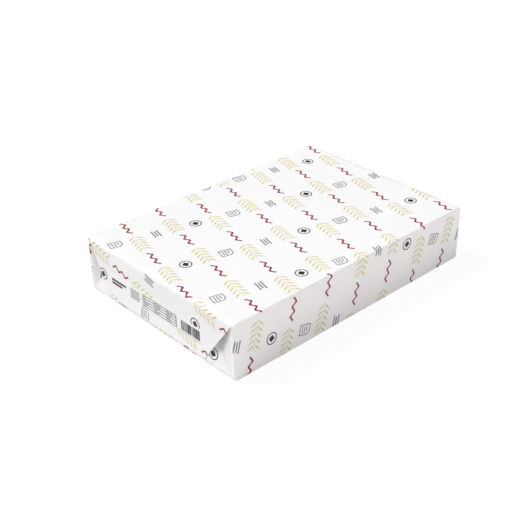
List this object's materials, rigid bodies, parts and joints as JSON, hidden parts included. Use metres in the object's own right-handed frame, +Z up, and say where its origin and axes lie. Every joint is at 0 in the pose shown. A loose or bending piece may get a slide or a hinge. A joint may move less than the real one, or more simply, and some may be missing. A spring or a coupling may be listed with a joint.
{
  "type": "ream of paper",
  "caption": "Wrapped ream of office paper: a flat rectangular pack with parcel-folded ends and a paper label across the front flap.",
  "frame": {"origin": "centre of the underside, on the surface that the pack lies on", "axes": "+X across the width, to the right of someone who faces the labelled end; +Y along the length, away from the labelled end; +Z up"},
  "size_m": [0.211, 0.305, 0.0586],
  "materials": {
    "wrapper": "smooth coated wrapping paper with a scattered print in gold, red and grey",
    "label": "matt label paper with thin black rules and bars"
  },
  "bodies": {
    "root": {"wrapped_ream": "wrapper", "end_label": "label"}
  },
  "joints": []
}
